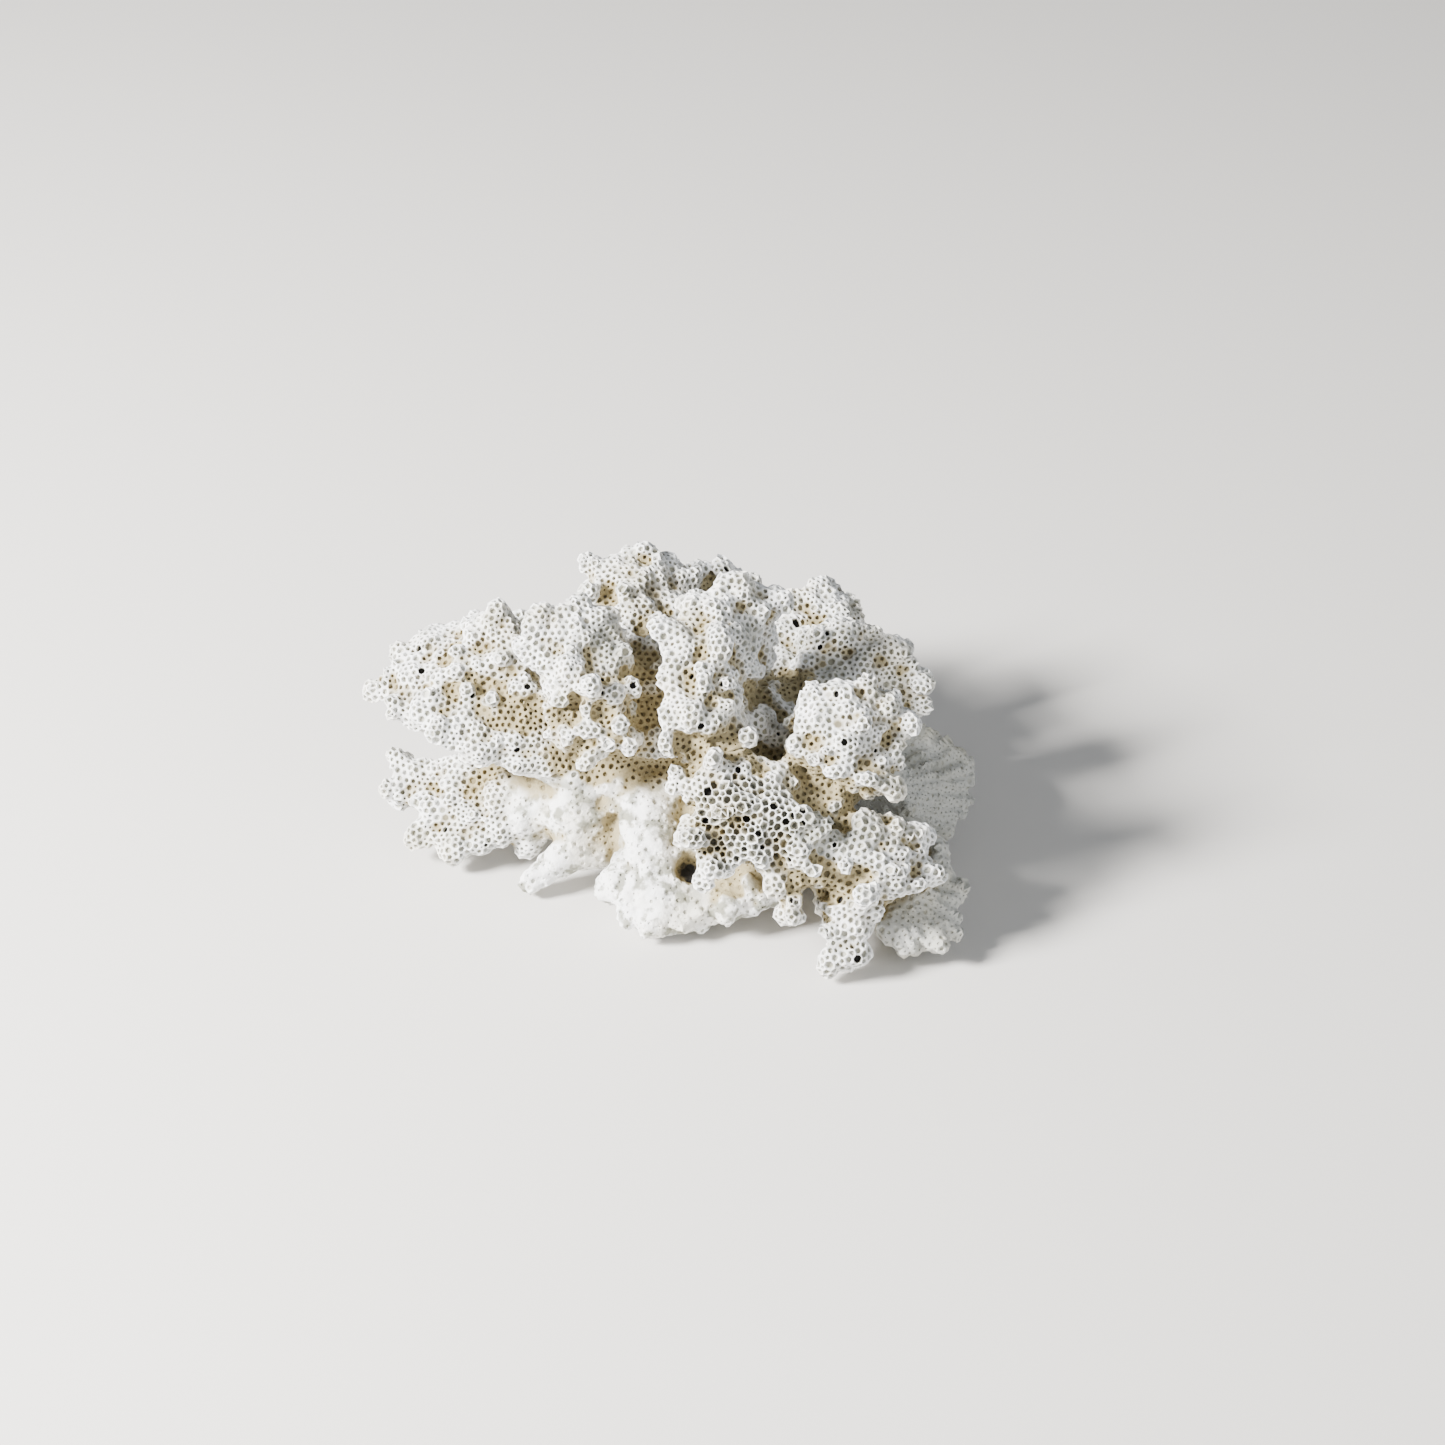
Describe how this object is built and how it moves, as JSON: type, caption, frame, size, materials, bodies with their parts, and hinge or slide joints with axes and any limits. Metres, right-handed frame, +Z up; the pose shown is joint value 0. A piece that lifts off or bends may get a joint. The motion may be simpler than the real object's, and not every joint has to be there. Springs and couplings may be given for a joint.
{
  "type": "coral specimen",
  "caption": "Bleached cauliflower coral colony with knobbly fan-shaped branches on a short base cut flat to rest on.",
  "frame": {"origin": "on the resting surface, under the middle of the colony's box", "axes": "+X to the right of the front, +Y towards the back, +Z up"},
  "size_m": [0.1108, 0.0902, 0.0569],
  "materials": {
    "coral_skeleton": "matt"
  },
  "bodies": {
    "root": {"base_stem": "coral_skeleton", "upper_left_branch": "coral_skeleton", "lower_left_branch": "coral_skeleton", "centre_left_branch": "coral_skeleton", "top_branch": "coral_skeleton", "centre_branch": "coral_skeleton", "back_left_branch": "coral_skeleton", "top_back_branch": "coral_skeleton", "back_right_branch": "coral_skeleton", "right_shoulder_branch": "coral_skeleton", "low_back_branch": "coral_skeleton", "right_branch": "coral_skeleton", "far_right_branch": "coral_skeleton", "front_branch": "coral_skeleton", "front_right_branch": "coral_skeleton", "low_right_branch": "coral_skeleton"}
  },
  "joints": []
}
